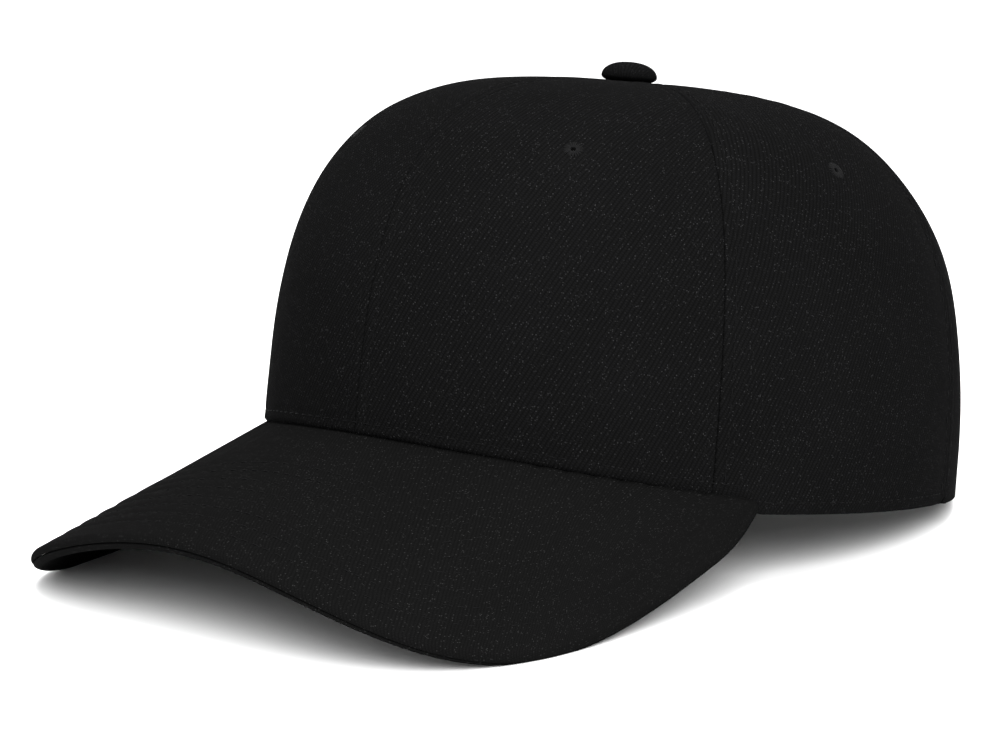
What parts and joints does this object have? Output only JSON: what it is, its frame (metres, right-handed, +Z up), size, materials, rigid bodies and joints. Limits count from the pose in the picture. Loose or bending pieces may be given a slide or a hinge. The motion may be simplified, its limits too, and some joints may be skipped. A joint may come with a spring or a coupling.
{
  "type": "baseball cap",
  "caption": "Structured baseball cap with a domed panelled crown, a stiffened front, a bowed and row-stitched brim, a covered top button and a snap strap across an arched back opening.",
  "frame": {"origin": "the middle of the footprint of the cap as it stands on its brim edges and the back of its crown, on the surface it stands on", "axes": "+X is the wearer's left, -Y is the way the brim points, +Z is up from the surface that the cap stands on"},
  "size_m": [0.168, 0.2634, 0.1214],
  "materials": {
    "crown_cloth": "black wool-blend twill with a fine diagonal rib and scattered pale fibres",
    "lining_cloth": "black cotton twill tape and sweatband cloth",
    "buckram": "stiff open-weave buckram, off-white",
    "padding": "thin grey foam-backed padding",
    "brim_board": "plain polyethylene board",
    "button_metal": "bare stamped metal",
    "tab_cloth": "white woven tape, blank",
    "strap_plastic": "moulded black plastic with a soft satin face"
  },
  "bodies": {
    "cap": {"front_panel_left": "crown_cloth", "front_panel_right": "crown_cloth", "side_panel_left": "crown_cloth", "side_panel_right": "crown_cloth", "back_panel_left": "crown_cloth", "back_panel_right": "crown_cloth", "buckram_left": "buckram", "buckram_right": "buckram", "tape_front": "lining_cloth", "tape_side_left": "lining_cloth", "tape_side_right": "lining_cloth", "tape_back_left": "lining_cloth", "tape_back_right": "lining_cloth", "tape_back": "lining_cloth", "arch_binding": "lining_cloth", "eyelets": "crown_cloth", "button_cover": "crown_cloth", "button_shell": "button_metal", "button_prong": "button_metal", "sweatband": "lining_cloth", "sweatband_padding": "padding", "size_tab": "tab_cloth", "brim_board": "brim_board", "brim_top_cover": "crown_cloth", "brim_under_cover": "crown_cloth", "hole_strap_root": "strap_plastic", "stud_strap_root": "strap_plastic"},
    "hole_strap": {"hole_strap": "strap_plastic"},
    "stud_strap": {"stud_strap": "strap_plastic"}
  },
  "joints": [
    {"name": "hole_strap_bend", "type": "hinge", "parent": "cap", "child": "hole_strap", "pos_m": [0.03543, 0.11771, 0.00817], "axis": [0, -0.1433, -0.9897], "range_deg": [0, 70], "stiffness_Nm_per_rad": 0.004},
    {"name": "stud_strap_bend", "type": "hinge", "parent": "cap", "child": "stud_strap", "pos_m": [-0.03467, 0.11655, 0.00834], "axis": [0, -0.1433, -0.9897], "range_deg": [0, 35], "stiffness_Nm_per_rad": 0.004}
  ]
}
